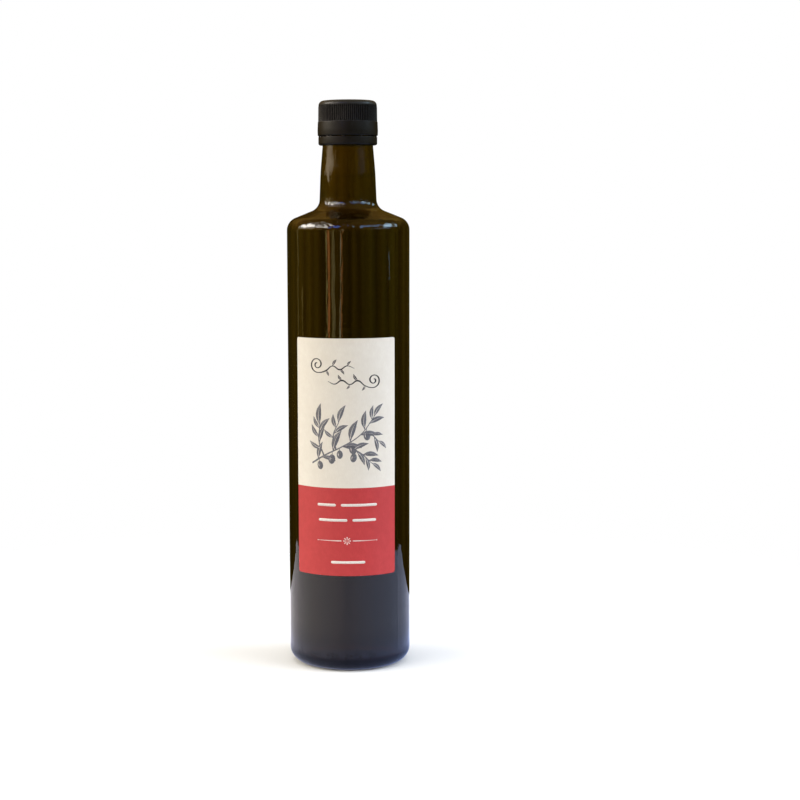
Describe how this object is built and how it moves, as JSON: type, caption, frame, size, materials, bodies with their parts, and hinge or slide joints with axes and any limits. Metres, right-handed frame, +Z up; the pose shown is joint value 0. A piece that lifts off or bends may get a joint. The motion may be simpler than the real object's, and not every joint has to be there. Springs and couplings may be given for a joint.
{
  "type": "olive oil bottle",
  "caption": "Tall round bottle of dark glass filled with olive oil, with a sloping shoulder, slim neck, ribbed screw cap over a tear-off band, and one paper label on the front.",
  "frame": {"origin": "centre of the bottle's bottom, on the surface that it stands on", "axes": "+Z up along the bottle's axis, -Y towards the front label, +X to the right of someone who reads the label"},
  "size_m": [0.069, 0.0692, 0.3182],
  "materials": {
    "dark_glass": "smooth, dark olive brown",
    "oil": "clear golden green oil",
    "closure_plastic": "satin black",
    "label_paper": "matte paper, cream above and red below"
  },
  "bodies": {
    "root": {"glass_bottle": "dark_glass", "olive_oil": "oil", "cap": "closure_plastic", "tamper_band": "closure_plastic", "front_label": "label_paper"}
  },
  "joints": []
}
